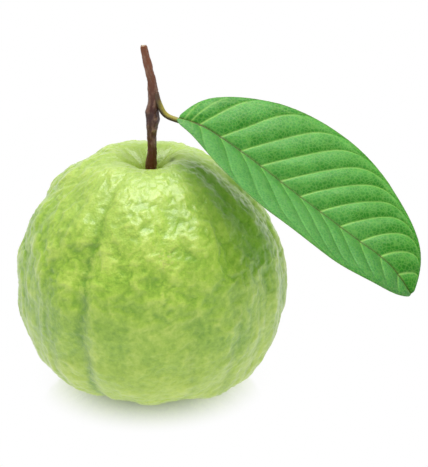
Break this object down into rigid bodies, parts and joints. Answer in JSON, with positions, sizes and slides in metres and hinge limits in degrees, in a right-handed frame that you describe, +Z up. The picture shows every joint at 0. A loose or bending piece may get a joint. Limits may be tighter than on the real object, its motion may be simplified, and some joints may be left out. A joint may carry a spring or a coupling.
{
  "type": "guava fruit",
  "caption": "Whole green guava with lumpy furrowed skin, a dried calyx underneath, and a short piece of twig on top that carries one folded leaf.",
  "frame": {"origin": "middle of the flat spot under the fruit that it rests on", "axes": "+Z up, away from the surface it rests on; +X is the side the leaf droops towards"},
  "size_m": [0.14, 0.0983, 0.1251],
  "materials": {
    "skin": "natural guava skin, waxy, satin, yellow-green with a darker green mottle",
    "bark": "young twig, dark reddish brown bark, dull",
    "leaf": "fresh leaf, satin mid green above, paler and dull below",
    "dried_sepal": "dried sepals, dark brown, papery and dull"
  },
  "bodies": {
    "root": {"fruit": "skin", "twig": "bark", "leaf": "leaf", "calyx": "dried_sepal"}
  },
  "joints": []
}
